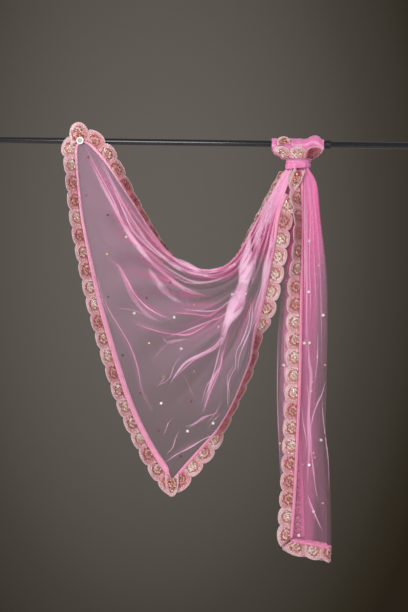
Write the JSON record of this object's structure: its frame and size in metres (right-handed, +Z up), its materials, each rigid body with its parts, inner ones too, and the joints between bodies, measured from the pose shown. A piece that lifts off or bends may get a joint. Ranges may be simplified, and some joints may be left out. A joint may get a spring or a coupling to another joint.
{
  "type": "dupatta stole on a round rod",
  "caption": "Sheer net dupatta with a scalloped lace border, pinned at a corner to a round rod, swagged, and knotted over it with a hanging folded tail.",
  "frame": {"origin": "on the rod's axis, halfway along its length, where a stand or wall hooks hold the rod up", "axes": "+X along the rod to the viewer's right, +Y away from the viewer, +Z up"},
  "size_m": [1.2, 0.0951, 1.0335],
  "materials": {
    "rod black gloss": "gloss black lacquer on a steel tube",
    "pin white": "white pin head, satin, dished grey in the middle",
    "net pink": "sheer pink nylon tulle with a soft sheen",
    "tape hot pink": "hot pink satin binding tape",
    "lace sequined": "pale pink scalloped lace with silver, gold and copper sequins"
  },
  "bodies": {
    "root": {"rod": "rod black gloss", "rod_sleeve": "rod black gloss", "corner_pin": "pin white", "net_swag": "net pink", "net_tail": "net pink", "net_rod_loop": "net pink", "neck_band": "net pink", "tape_left": "tape hot pink", "tape_top": "tape hot pink", "tape_hem": "tape hot pink", "tape_tail_front": "tape hot pink", "tape_tail_back": "tape hot pink", "tape_tail_end": "tape hot pink", "lace_left": "lace sequined", "lace_top": "lace sequined", "lace_hem": "lace sequined", "lace_tail_front": "lace sequined", "lace_tail_back": "lace sequined", "lace_tail_end": "lace sequined", "lace_knot_front": "lace sequined", "lace_knot_back": "lace sequined"}
  },
  "joints": []
}
